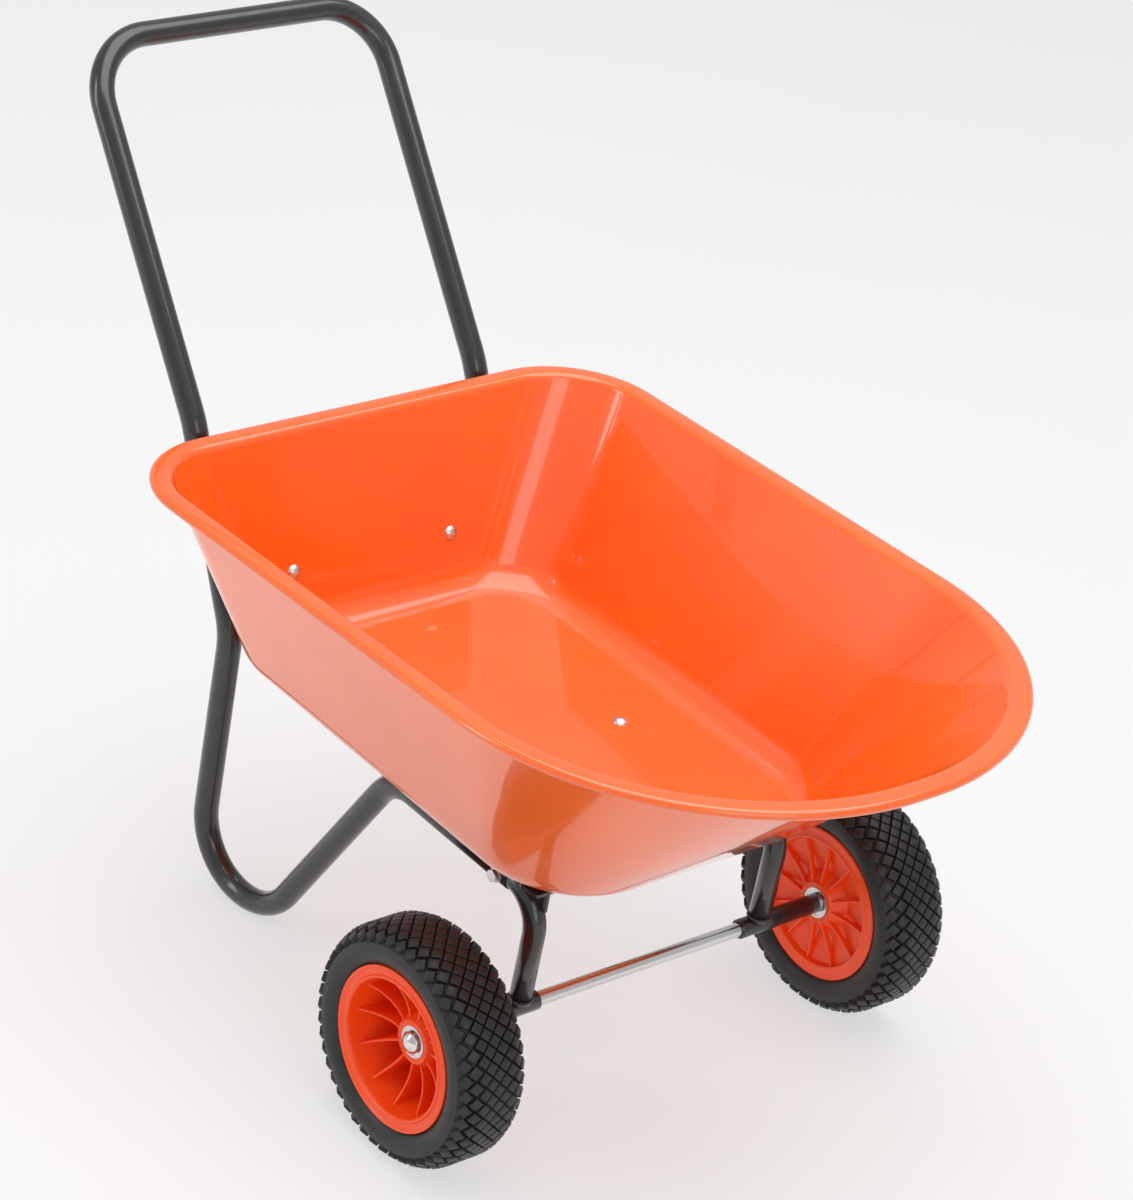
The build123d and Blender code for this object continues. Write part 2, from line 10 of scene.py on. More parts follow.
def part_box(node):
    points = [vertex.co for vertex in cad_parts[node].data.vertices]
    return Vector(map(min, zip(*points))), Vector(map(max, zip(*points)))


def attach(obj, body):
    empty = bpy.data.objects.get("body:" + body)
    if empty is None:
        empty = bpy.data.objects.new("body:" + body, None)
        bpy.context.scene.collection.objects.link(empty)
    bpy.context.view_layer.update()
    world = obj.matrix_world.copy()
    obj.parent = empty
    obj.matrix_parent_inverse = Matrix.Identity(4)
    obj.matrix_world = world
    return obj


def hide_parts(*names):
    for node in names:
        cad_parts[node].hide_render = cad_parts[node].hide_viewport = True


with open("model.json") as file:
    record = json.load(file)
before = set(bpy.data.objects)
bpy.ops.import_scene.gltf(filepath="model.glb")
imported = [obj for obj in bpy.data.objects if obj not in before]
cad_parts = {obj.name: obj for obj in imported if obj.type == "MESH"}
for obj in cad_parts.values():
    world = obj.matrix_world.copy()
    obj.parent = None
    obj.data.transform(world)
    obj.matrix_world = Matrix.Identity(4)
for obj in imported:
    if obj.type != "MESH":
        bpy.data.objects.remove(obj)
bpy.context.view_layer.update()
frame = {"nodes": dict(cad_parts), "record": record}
scene = bpy.context.scene

# A two-wheel garden wheelbarrow. The scene is in metres; +X towards the wheels, +Z up, ground at z = 0.
# Dimensions are named in millimetres, and places are given as the barrow is drawn: with the axle over
# x = 0 and the rails level. STAND turns that about the axle until the feet rest on the ground.
MM = 0.001
STANCE = radians(1.9)
RAIL_LEVEL = 268.0              # height of the rails' centre lines
TUBE_R = 14.0
STRAP_T = 4.0
SIDES = {"left": 1, "right": -1}


# ---------------------------------------------------------------- places from the frame
def middle(node):
    """Centre of a CAD node's box."""
    low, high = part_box(node)
    return (low + high) / 2


AXLE_X = middle("axle").x
AXLE_Z = middle("axle").z
AXLE_H = AXLE_Z / MM
WHEEL_Y = middle("left_tyre").y
RAIL_Y = middle("left_drop_tube").y / MM
tyre_low, tyre_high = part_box("left_tyre")
CROWN_R = (tyre_high.z - tyre_low.z) / 2 / MM

STAND = (
    Matrix.Translation((AXLE_X, 0, AXLE_Z)) @ Matrix.Rotation(STANCE, 4, "Y")
    @ Matrix.Translation((0, 0, -AXLE_Z)))


def at(x, y, z):
    """Point on the standing barrow, in metres, from a place on the drawn one."""
    return STAND @ Vector((x * MM, y * MM, z * MM))


def add_object(name, data):
    """New object in the scene."""
    made = bpy.data.objects.new(name, data)
    scene.collection.objects.link(made)
    return made


# ---------------------------------------------------------------- camera
VIEW_AZIMUTH = radians(45.60)
VIEW_ELEVATION = radians(29.07)
VIEW_ROLL = radians(10.60)

camera_data = bpy.data.cameras.new("camera")
camera_data.lens = 120.72
camera_data.shift_x = -0.0076
camera_data.shift_y = -0.0181
camera_data.clip_end = 60
camera = add_object("camera", camera_data)
camera.location = at(2437.8, -2585.3, 2550.6)
look = Vector((
    -sin(VIEW_AZIMUTH) * cos(VIEW_ELEVATION),
    cos(VIEW_AZIMUTH) * cos(VIEW_ELEVATION),
    -sin(VIEW_ELEVATION)))
level = look.to_track_quat("-Z", "Y")
stance_turn = Matrix.Rotation(STANCE, 3, "Y").to_quaternion()
roll_turn = Matrix.Rotation(VIEW_ROLL, 3, "Z").to_quaternion()
camera.rotation_mode = "QUATERNION"
camera.rotation_quaternion = stance_turn @ level @ roll_turn
scene.camera = camera


# ---------------------------------------------------------------- shader helpers
class Term:
    """A shader value that can be used in sums."""

    def __init__(self, finish, socket):
        self.finish = finish
        self.socket = socket

    def math(self, operation, first, second):
        made = self.finish.node("ShaderNodeMath", {"operation": operation}, {0: first, 1: second})
        return Term(self.finish, made.outputs[0])

    def __add__(self, other):
        return self.math("ADD", self, other)

    def __radd__(self, other):
        return self.math("ADD", other, self)

    def __mul__(self, other):
        return self.math("MULTIPLY", self, other)

    def __rmul__(self, other):
        return self.math("MULTIPLY", other, self)


class Finish:
    """A material under construction, with a Principled shader."""

    def __init__(self, name, **sockets):
        self.material = bpy.data.materials.new(name)
        self.material.use_nodes = True
        self.tree = self.material.node_tree
        self.shader = self.tree.nodes["Principled BSDF"]
        for label, value in sockets.items():
            self.shader.inputs[label.replace("_", " ")].default_value = value
        self.place = self.node("ShaderNodeTexCoord").outputs["Object"]

    def node(self, kind, settings=None, inputs=None):
        """Adds a node, sets its settings, then its inputs by value or link."""
        made = self.tree.nodes.new(kind)
        for label, value in (settings or {}).items():
            if label == "stops":
                ramp_stops(made.color_ramp, value)
            else:
                setattr(made, label, value)
        for key, value in (inputs or {}).items():
            self.feed(made.inputs[key], value)
        return made

    def feed(self, socket, value):
        """Sets a socket to a value, or links it to a term or another socket."""
        if isinstance(value, Term):
            value = value.socket
        if isinstance(value, bpy.types.NodeSocket):
            self.tree.links.new(value, socket)
        else:
            socket.default_value = value

    def noise(self, size, detail=3.0, roughness=0.5, stretch=None):
        """Noise value whose blobs are about `size` metres."""
        place = self.place
        if stretch:
            place = self.node("ShaderNodeMapping", None, {"Vector": place, "Scale": stretch}).outputs[0]
        made = self.node("ShaderNodeTexNoise", None, {
            "Vector": place, "Scale": 1 / size, "Detail": detail, "Roughness": roughness})
        return Term(self, made.outputs["Fac"])

    def two_tone(self, value, dark, light, low=0.3, high=0.7):
        """Base colour that goes from dark to light while a value goes from low to high."""
        stops = [(low, (*dark, 1)), (high, (*light, 1))]
        made = self.node("ShaderNodeValToRGB", {"stops": stops}, {"Fac": value})
        self.feed(self.shader.inputs["Base Color"], made.outputs["Color"])

    def rough(self, value):
        self.feed(self.shader.inputs["Roughness"], value)

    def bump(self, height, depth):
        """Bump of a height value, `depth` metres deep."""
        made = self.node("ShaderNodeBump", None, {"Height": height, "Distance": depth, "Strength": 1.0})
        self.feed(self.shader.inputs["Normal"], made.outputs[0])


def ramp_stops(ramp, stops):
    """Sets the stops of a colour ramp, which starts with two."""
    for place, _ in stops[2:]:
        ramp.elements.new(place)
    for element, (place, colour) in zip(ramp.elements, stops):
        element.position = place
        element.color = colour


# ---------------------------------------------------------------- finishes
def orange_paint():
    """Glossy sprayed paint, with a trace of orange peel."""
    finish = Finish("orange_paint", Coat_Weight=1.0, Coat_Roughness=0.06, Coat_IOR=1.5)
    patches = finish.noise(0.12, detail=2.0)
    finish.two_tone(patches, (0.90, 0.120, 0.002), (0.95, 0.135, 0.003), low=0.35, high=0.65)
    finish.rough(finish.noise(0.02) * 0.10 + 0.26)
    finish.bump(finish.noise(0.0022, detail=1.5), 0.00003)
    return finish.material


def black_paint():
    """Black enamel of the tubes."""
    finish = Finish("black_paint", Coat_Weight=0.7, Coat_Roughness=0.10)
    finish.two_tone(finish.noise(0.03, detail=4.0), (0.0085, 0.009, 0.0088), (0.013, 0.0135, 0.013))
    finish.rough(finish.noise(0.008) * 0.14 + 0.27)
    finish.bump(finish.noise(0.0016, detail=2.0), 0.00004)
    return finish.material


def rim_plastic():
    """Moulded plastic of the rims."""
    finish = Finish("rim_plastic", Coat_Weight=0.15, Coat_Roughness=0.2)
    finish.two_tone(finish.noise(0.05), (0.93, 0.066, 0.001), (0.97, 0.082, 0.002))
    finish.rough(finish.noise(0.004) * 0.12 + 0.36)
    finish.bump(finish.noise(0.0008, detail=2.0), 0.00003)
    return finish.material


def tyre_rubber():
    """Black rubber, a little cloudy."""
    finish = Finish("tyre_rubber", Specular_IOR_Level=0.45)
    clouds = finish.noise(0.012, detail=6.0, roughness=0.65)
    finish.two_tone(clouds, (0.010, 0.011, 0.0105), (0.022, 0.0235, 0.0225), low=0.25, high=0.75)
    finish.rough(finish.noise(0.006, detail=4.0) * 0.22 + 0.34)
    finish.bump(finish.noise(0.0012, detail=3.0), 0.00012)
    return finish.material


def zinc():
    """Zinc plating of the bolts, washers and nuts."""
    finish = Finish("zinc", Metallic=1.0)
    finish.two_tone(finish.noise(0.006, detail=4.0), (0.60, 0.60, 0.60), (0.74, 0.74, 0.73))
    finish.rough(finish.noise(0.003) * 0.18 + 0.22)
    finish.bump(finish.noise(0.0006), 0.00001)
    return finish.material


def drawn_rod():
    """Bright drawn bar, with fine lines along it."""
    finish = Finish("drawn_rod", Metallic=1.0)
    lines = finish.noise(0.0008, detail=3.0, stretch=(1, 0.01, 1))
    finish.two_tone(lines, (0.66, 0.66, 0.66), (0.80, 0.80, 0.79))
    finish.rough(lines * 0.12 + 0.16)
    return finish.material


def polished_steel():
    """Bearing rings, balls and axle caps."""
    finish = Finish("polished_steel", Metallic=1.0)
    finish.two_tone(finish.noise(0.003), (0.68, 0.68, 0.68), (0.80, 0.80, 0.79))
    finish.rough(finish.noise(0.002) * 0.12 + 0.10)
    return finish.material


def nylon():
    """Pale plastic of the bearing cages."""
    finish = Finish("nylon")
    finish.two_tone(finish.noise(0.002), (0.62, 0.62, 0.58), (0.70, 0.70, 0.66))
    finish.rough(0.45)
    return finish.material


PAINT = orange_paint()
BLACK = black_paint()
PLASTIC = rim_plastic()
RUBBER = tyre_rubber()
ZINC = zinc()
ROD = drawn_rod()
STEEL = polished_steel()
NYLON = nylon()


# ---------------------------------------------------------------- mesh helpers
def aim(point, direction):
    """Matrix that puts a mesh's origin at a point and its +Z along a direction."""
    return Matrix.Translation(point) @ Vector(direction).to_track_quat("Z", "Y").to_matrix().to_4x4()


def edges_of(geometry):
    return [part for part in geometry if isinstance(part, bmesh.types.BMEdge)]


def verts_of(geometry):
    return [part for part in geometry if isinstance(part, bmesh.types.BMVert)]


def piece(name, bm, body, material, replaces=(), sharp=35, wall=0.0):
    """Turns a bmesh into a finished piece that rides on a body."""
    mesh = bpy.data.meshes.new(name)
    bm.to_mesh(mesh)
    bm.free()
    mesh.shade_smooth()
    mesh.set_sharp_from_angle(angle=radians(sharp))
    mesh.materials.append(material)
    made = add_object(name, mesh)
    if wall:
        shell = made.modifiers.new("wall", "SOLIDIFY")
        shell.thickness = wall * MM
        shell.offset = -1
        shell.use_even_offset = True
    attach(made, body)
    if replaces:
        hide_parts(*replaces)
    return made


def add_copies(bm, source, matrices):
    """Adds a copy of the source bmesh at each matrix."""
    template = bpy.data.meshes.new("template")
    source.to_mesh(template)
    source.free()
    for matrix in matrices:
        placed = template.copy()
        placed.transform(matrix)
        bm.from_mesh(placed)
        bpy.data.meshes.remove(placed)
    bpy.data.meshes.remove(template)


def round_edges(bm, edges, radius):
    """Rounds edges in two steps."""
    bmesh.ops.bevel(
        bm, geom=edges, offset=radius * MM, offset_type="OFFSET", affect="EDGES", segments=2, profile=0.5,
        clamp_overlap=True, material=-1)


def draw_out(bm, ring, by):
    """Extrudes a ring of edges along a vector and returns the new ring."""
    made = bmesh.ops.extrude_edge_only(bm, edges=ring)["geom"]
    fresh = verts_of(made)
    bmesh.ops.translate(bm, verts=fresh, vec=by)
    chosen = set(fresh)
    return [edge for edge in edges_of(made) if edge.verts[0] in chosen and edge.verts[1] in chosen]


def bent_tube(corners, bend_radii, radius, segments=40, step=radians(3.5)):
    """Skin of a round tube, straight between its corners and bent round each on an arc."""
    bm = bmesh.new()
    here = corners[0]
    heading = (corners[1] - corners[0]).normalized()
    bmesh.ops.create_circle(bm, segments=segments, radius=radius * MM, matrix=aim(here, heading))
    ring = bm.edges[:]
    for corner, beyond, bend_radius in zip(corners[1:-1], corners[2:], bend_radii):
        bend = bend_radius * MM
        turned = (beyond - corner).normalized()
        angle = heading.angle(turned)
        start = corner - heading * bend * tan(angle / 2)
        axis = heading.cross(turned).normalized()
        ring = draw_out(bm, ring, start - here)
        ring_verts = list({vert for edge in ring for vert in edge.verts})
        spun = bmesh.ops.spin(
            bm, geom=ring + ring_verts, cent=start + axis.cross(heading) * bend, axis=axis,
            angle=angle, steps=ceil(angle / step), use_duplicate=False)
        ring = edges_of(spun["geom_last"])
        here = corner + turned * bend * tan(angle / 2)
        heading = turned
    draw_out(bm, ring, corners[-1] - here)
    bmesh.ops.recalc_face_normals(bm, faces=bm.faces)
    return bm


def revolve(profile, steps=96):
    """Solid of revolution about Z from a closed run of (radius, height) points."""
    bm = bmesh.new()
    dots = [bm.verts.new((radius * MM, 0, height * MM)) for radius, height in profile]
    lines = [bm.edges.new(pair) for pair in zip(dots, dots[1:] + dots[:1])]
    bmesh.ops.spin(
        bm, geom=dots + lines, cent=(0, 0, 0), axis=(0, 0, 1), angle=2 * pi, steps=steps,
        use_merge=True, use_duplicate=False)
    bmesh.ops.remove_doubles(bm, verts=bm.verts, dist=1e-6)
    bmesh.ops.recalc_face_normals(bm, faces=bm.faces)
    return bm


def arc(centre, radius, start, end, count):
    """Points of an arc in a profile, angles in degrees from the outward direction."""
    turns = [radians(start + (end - start) * step / count) for step in range(count + 1)]
    return [(centre[0] + radius * cos(turn), centre[1] + radius * sin(turn)) for turn in turns]


# ---------------------------------------------------------------- tray
Outline = namedtuple("Outline", "rear front half rear_r front_r")   # half width, and corner radii

SHEET = 1.2
BASIN_FLOOR = Outline(rear=-509.2, front=53.2, half=208.2, rear_r=77.2, front_r=104.2)
BASIN_RIM = Outline(rear=-571.65, front=309.65, half=308.65, rear_r=91.65, front_r=298.65)
RIM_HEIGHT = 536.0
RIM_TILT = radians(2.45)
FLOOR_BEND = 38.8
LIP_BEND = 9.0
LIP_REACH = 23.35
LIP_ROLL = 5.5
PAST_FLOOR_BEND = 4.0           # first loop of the plain wall, above the floor's bend
BELOW_LIP_BEND = 3.0            # and the last one, below the lip's bend
REAR_CORNER_STEPS = 24
FRONT_CORNER_STEPS = 44
FLOOR_LEVEL = RAIL_LEVEL + TUBE_R + STRAP_T + SHEET


def basin_slopes():
    """Angles of the rear, front and side walls from level, and the tray's depth at its middle."""
    rear_depth = RIM_HEIGHT + BASIN_RIM.rear * sin(RIM_TILT) - FLOOR_LEVEL
    front_depth = RIM_HEIGHT + BASIN_RIM.front * sin(RIM_TILT) - FLOOR_LEVEL
    mean_depth = (rear_depth + front_depth) / 2
    rear = atan2(rear_depth, BASIN_FLOOR.rear - BASIN_RIM.rear * cos(RIM_TILT))
    front = atan2(front_depth, BASIN_RIM.front * cos(RIM_TILT) - BASIN_FLOOR.front)
    side = atan2(mean_depth, BASIN_RIM.half - BASIN_FLOOR.half)
    return rear, front, side, mean_depth


REAR_SLOPE, FRONT_SLOPE, SIDE_SLOPE, MEAN_DEPTH = basin_slopes()


def rounded_reach(rise, slope, bend):
    """How far out a wall has come at a height above a flat, when the corner between them is rounded."""
    if rise >= bend * (1 - cos(slope)):
        return rise / tan(slope)
    return sqrt(rise * (2 * bend - rise)) - bend * tan(slope / 2)


def outline_loop(bm, outline, place):
    """Loop of edges round a rectangle with rounded corners, put in its place by a matrix."""
    xs = (outline.rear, outline.front, outline.front, outline.rear)
    ys = (-outline.half, -outline.half, outline.half, outline.half)
    corners = [bm.verts.new((x * MM, y * MM, 0)) for x, y in zip(xs, ys)]
    bm.faces.new(corners)
    rears = [corners[0], corners[3]]
    fronts = [corners[1], corners[2]]
    rounds = (
        (rears, outline.rear_r, REAR_CORNER_STEPS),
        (fronts, outline.front_r, FRONT_CORNER_STEPS))
    for pair, radius, segments in rounds:
        bmesh.ops.bevel(
            bm, geom=pair, offset=radius * MM, offset_type="OFFSET", affect="VERTICES",
            segments=segments, profile=0.5, clamp_overlap=False, material=-1)
    sheet = max(bm.faces, key=lambda face: len(face.verts))
    loop = sheet.edges[:]
    verts = sheet.verts[:]
    bmesh.ops.delete(bm, geom=[sheet], context="FACES_ONLY")
    bmesh.ops.transform(bm, matrix=place, verts=verts)
    return loop


def basin_loop(bm, height):
    """Level loop of the basin's inside at a height above its floor."""
    out = rounded_reach(height, SIDE_SLOPE, FLOOR_BEND)
    share = height / MEAN_DEPTH
    inset = height / tan(SIDE_SLOPE) - out
    outline = Outline(
        rear=BASIN_FLOOR.rear - rounded_reach(height, REAR_SLOPE, FLOOR_BEND),
        front=BASIN_FLOOR.front + rounded_reach(height, FRONT_SLOPE, FLOOR_BEND),
        half=BASIN_FLOOR.half + out,
        rear_r=BASIN_FLOOR.rear_r + (BASIN_RIM.rear_r - BASIN_FLOOR.rear_r) * share - inset,
        front_r=BASIN_FLOOR.front_r + (BASIN_RIM.front_r - BASIN_FLOOR.front_r) * share - inset)
    return outline_loop(bm, outline, STAND @ Matrix.Translation((0, 0, (FLOOR_LEVEL + height) * MM)))


def rim_place(height):
    """Matrix of the rim's tilted plane, raised by a height."""
    centre = Matrix.Translation((0, 0, RIM_HEIGHT * MM))
    return STAND @ centre @ Matrix.Rotation(-RIM_TILT, 4, "Y") @ Matrix.Translation((0, 0, height * MM))


def brim_loop(bm, depth):
    """Loop of the wall's rounded top, at a depth below the rim's plane."""
    inward = rounded_reach(depth, SIDE_SLOPE, LIP_BEND)
    outline = Outline(
        rear=BASIN_RIM.rear + rounded_reach(depth, REAR_SLOPE, LIP_BEND),
        front=BASIN_RIM.front - rounded_reach(depth, FRONT_SLOPE, LIP_BEND),
        half=BASIN_RIM.half - inward,
        rear_r=BASIN_RIM.rear_r - inward,
        front_r=BASIN_RIM.front_r - inward)
    return outline_loop(bm, outline, rim_place(-depth))


def lip_loop(bm, out, drop):
    """Loop of the lip, at a distance out from the wall's top and a drop below it."""
    outline = Outline(
        rear=BASIN_RIM.rear - out,
        front=BASIN_RIM.front + out,
        half=BASIN_RIM.half + out,
        rear_r=BASIN_RIM.rear_r + out,
        front_r=BASIN_RIM.front_r + out)
    return outline_loop(bm, outline, rim_place(-drop))


def quarter_turn(steps):
    """Angles of a quarter turn in even steps."""
    return [radians(90 * step / steps) for step in range(steps + 1)]


def tray_shell():
    """Pressed sheet basin: floor, rounded foot, leaning walls and a lip rolled under at its edge."""
    bm = bmesh.new()
    foot_rise = FLOOR_BEND * (1 - cos(REAR_SLOPE))
    foot = [foot_rise * (1 - cos(turn)) for turn in quarter_turn(9)]
    brim_rise = LIP_BEND * (1 - cos(REAR_SLOPE))
    brim = [brim_rise * (1 - sin(turn)) for turn in quarter_turn(6)]
    roll = arc((LIP_REACH - LIP_ROLL, LIP_ROLL), LIP_ROLL, -90, 200, 18)
    loops = [basin_loop(bm, height) for height in foot + [foot_rise + PAST_FLOOR_BEND]]
    loops += [brim_loop(bm, depth) for depth in [brim_rise + BELOW_LIP_BEND] + brim]
    loops += [lip_loop(bm, out, drop) for out, drop in roll]
    for lower, upper in zip(loops, loops[1:]):
        bmesh.ops.bridge_loops(bm, edges=lower + upper)
    bmesh.ops.contextual_create(bm, geom=loops[0])
    bmesh.ops.recalc_face_normals(bm, faces=bm.faces)
    return bm


tray = piece("tray_shell", tray_shell(), "frame", PAINT, replaces=["tray"], sharp=60)
shell = tray.modifiers.new("sheet", "SOLIDIFY")
shell.thickness = SHEET * MM
shell.offset = -1

# ---------------------------------------------------------------- frame tubes
TUBE_WALL = 1.5
LEG_X = -517.0
LEG_Y = 195.0
FOOT_BEND_R = 77.0
RAIL_REAR_X = -244.0            # corner between the rail and the rising leg
RAIL_END_X = -38.0
RAIL_BEND_R = 60.0
STUB_BEND_Z = 301.0             # corner between the standing leg and the stub
STUB_BEND_R = 80.0
JOINT_X = -631.0                # corner between the stub and the handle
JOINT_Z = 508.0
JOINT_BEND_R = 120.0
STUB_END_BACK = 40.0            # the stub ends this far before that corner
HANDLE_TOP_X = -905.0
HANDLE_TOP_Z = 837.5
HANDLE_CORNER_R = 75.0
DROP_R = 12.4                   # drop tube, from inside the rail to the axle sleeve
DROP_INSERT = 20.0
DROP_CORNER_X = 6.0
DROP_BEND_R = 44.0
DROP_FOOT_X = 3.0
DROP_FOOT_RISE = 9.0            # its lower end, above the axle's centre


def foot_height():
    """Height of the leg's lower corner that rests its bend on the ground."""
    span = hypot(RAIL_REAR_X - LEG_X, LEG_Y - RAIL_Y)
    centre_x = LEG_X + FOOT_BEND_R * (RAIL_REAR_X - LEG_X) / span
    ground = AXLE_H - (AXLE_H - centre_x * sin(STANCE)) / cos(STANCE)
    run = span - FOOT_BEND_R
    rise = RAIL_LEVEL - ground - (FOOT_BEND_R + TUBE_R) / cos(STANCE)
    slope = atan2(rise, run) + atan2(FOOT_BEND_R, sqrt(run * run + rise * rise - FOOT_BEND_R * FOOT_BEND_R))
    return RAIL_LEVEL - span * tan(slope)


def stub_end(side):
    """Point on the stub's centre line, a little before its corner with the handle."""
    corner = at(JOINT_X, side * LEG_Y, JOINT_Z)
    up = (corner - at(LEG_X, side * LEG_Y, STUB_BEND_Z)).normalized()
    return corner - up * STUB_END_BACK * MM


def side_frame(side):
    """Stub, standing leg, foot bend, rising leg and rail, one bent tube."""
    corners = [
        stub_end(side),
        at(LEG_X, side * LEG_Y, STUB_BEND_Z),
        at(LEG_X, side * LEG_Y, foot_height()),
        at(RAIL_REAR_X, side * RAIL_Y, RAIL_LEVEL),
        at(RAIL_END_X, side * RAIL_Y, RAIL_LEVEL)]
    return bent_tube(corners, (STUB_BEND_R, FOOT_BEND_R, RAIL_BEND_R), TUBE_R)


def handle_loop():
    """Handle loop from shoulder to shoulder."""
    corners = [
        stub_end(-1),
        at(JOINT_X, -LEG_Y, JOINT_Z),
        at(HANDLE_TOP_X, -LEG_Y, HANDLE_TOP_Z),
        at(HANDLE_TOP_X, LEG_Y, HANDLE_TOP_Z),
        at(JOINT_X, LEG_Y, JOINT_Z),
        stub_end(1)]
    return bent_tube(corners, (JOINT_BEND_R, HANDLE_CORNER_R, HANDLE_CORNER_R, JOINT_BEND_R), TUBE_R)


def drop_tube(side):
    """Drop tube from inside the rail to the axle sleeve."""
    y = side * RAIL_Y
    corners = [
        at(RAIL_END_X - DROP_INSERT, y, RAIL_LEVEL),
        at(DROP_CORNER_X, y, RAIL_LEVEL),
        at(DROP_FOOT_X, y, AXLE_H + DROP_FOOT_RISE)]
    return bent_tube(corners, (DROP_BEND_R,), DROP_R)


piece("handle_tube", handle_loop(), "frame", BLACK,
      replaces=["handle_loop"], wall=TUBE_WALL)
for name, side in SIDES.items():
    piece(f"{name}_frame_tube", side_frame(side), "frame", BLACK,
          replaces=[f"{name}_side_frame"], wall=TUBE_WALL)
    piece(f"{name}_drop_leg", drop_tube(side), "frame", BLACK,
          replaces=[f"{name}_drop_tube"], wall=TUBE_WALL)

# ---------------------------------------------------------------- welds
Bead = namedtuple("Bead", "radius pitch")

BEAD = Bead(2.0, 2.6)
FINE_BEAD = Bead(1.4, 2.0)
MID_STRAP_X = -205.0
STRAP_HALF = 15.0
STRAP_SEAM_HALF = 6.0           # half length of a strap's seam across the rail
GUSSET_ENDS_X = (-10.0, 14.0)
GUSSET_HALF_T = 2.0
GUSSET_SEAM_END = 18.0          # lower end of a gusset's seam, below the rail's top
SEAM_LIFT = 0.5
COLLAR_RISE = 13.0              # collar round the drop tube, above the axle's centre


def ripple(bead):
    """One ripple of a weld."""
    bm = bmesh.new()
    bmesh.ops.create_icosphere(bm, subdivisions=2, radius=bead.radius * MM)
    return bm


def seam(bm, start, end, bead=BEAD):
    """Row of overlapping weld ripples along a straight seam."""
    count = max(2, round((end - start).length / (bead.pitch * MM)))
    spots = [start.lerp(end, step / count) for step in range(count + 1)]
    add_copies(bm, ripple(bead), [Matrix.Translation(spot) for spot in spots])


def collar(bm, centre, radius, bead=BEAD):
    """Level ring of overlapping weld ripples round a tube."""
    count = round(2 * pi * radius / bead.pitch)
    drop = ripple(bead)
    bmesh.ops.translate(drop, verts=drop.verts, vec=(radius * MM, 0, 0))
    turns = [Matrix.Rotation(2 * pi * step / count, 4, "Z") for step in range(count)]
    add_copies(bm, drop, [aim(centre, (0, 0, 1)) @ turn for turn in turns])


def frame_welds(side):
    """Beads where the middle strap and a gusset meet the tubes, and the drop tube meets the axle sleeve."""
    bm = bmesh.new()
    rail = side * RAIL_Y
    top = RAIL_LEVEL + TUBE_R
    for x in (MID_STRAP_X - STRAP_HALF, MID_STRAP_X + STRAP_HALF):
        ends = [at(x, rail + reach, top + SEAM_LIFT) for reach in (-STRAP_SEAM_HALF, STRAP_SEAM_HALF)]
        seam(bm, *ends)
    for x in GUSSET_ENDS_X:
        for y in (rail - GUSSET_HALF_T, rail + GUSSET_HALF_T):
            seam(bm, at(x, y, top - SEAM_LIFT), at(x, y, top - GUSSET_SEAM_END), FINE_BEAD)
    collar(bm, at(DROP_FOOT_X, rail, AXLE_H + COLLAR_RISE), DROP_R)
    return bm


for name, side in SIDES.items():
    piece(f"{name}_welds", frame_welds(side), "frame", BLACK)

# ---------------------------------------------------------------- wheels
TREAD_FLAT = 16.0               # half width of the tread's flat middle
TREAD_FALL = 0.022              # the fall past it is this times the distance squared
TREAD_HALF = 36
STUD_RISE = 4.5
STUD_ROOT = 1.5                 # depth of a stud's foot inside the tyre
STUD_HALF = 8.3                 # centre to corner, at the foot
STUD_TAPER = 1.1
STUD_EDGE_R = 0.7
STUDS_ROUND = 46
STUD_ROWS = (-34.0, -25.5, -17.0, -8.5, 0.0, 8.5, 17.0, 25.5, 34.0)
SEAT_R = 77.0                   # tyre seat of the rim
SPOKES = 12
RIB_HUB_R = 22.0
RIB_WALL_R = 73.8
RIB_HUB_H = 7.0
RIB_WALL_H = 24.0
RIB_SAG = 7.0
RIB_STEPS = 8
RIB_THICK = 2.6
INNER_RIB_THICK = 2.4
RIB_EDGE_R = 0.5


def wheel_place(side):
    """Matrix that stands a wheel made round Z on its axle, +Z outboard."""
    return aim((AXLE_X, side * WHEEL_Y, AXLE_Z), (0, side, 0))


def past_flat(across):
    """How far a place on the tread lies past its flat middle."""
    return max(0.0, abs(across) - TREAD_FLAT)


def tread_radius(across):
    """Radius of the tyre under its studs, at a distance from the tyre's middle."""
    over = past_flat(across)
    return CROWN_R - STUD_RISE - TREAD_FALL * over * over


def tyre_carcass():
    """Tyre without its studs."""
    tread = [(tread_radius(across), across) for across in range(-TREAD_HALF, TREAD_HALF + 1, 4)]
    wall = [(113, 40.5), (107, 42), (101, 41.8), (95, 39.5), (91, 36.5), (89.2, 33.8), (77.2, 33.8)]
    other_wall = [(radius, -across) for radius, across in reversed(wall)]
    return revolve(other_wall + tread + wall, steps=120)


def stud():
    """One diamond stud, its foot on z = 0 and its root below."""
    bm = bmesh.new()
    bmesh.ops.create_cone(
        bm, segments=4, radius1=STUD_HALF * MM, radius2=(STUD_HALF - STUD_TAPER) * MM,
        depth=(STUD_RISE + STUD_ROOT) * MM, cap_ends=True, cap_tris=False)
    bmesh.ops.translate(bm, verts=bm.verts, vec=(0, 0, (STUD_RISE - STUD_ROOT) / 2 * MM))
    round_edges(bm, [edge for edge in bm.edges if min(vert.co.z for vert in edge.verts) > 0], STUD_EDGE_R)
    return bm


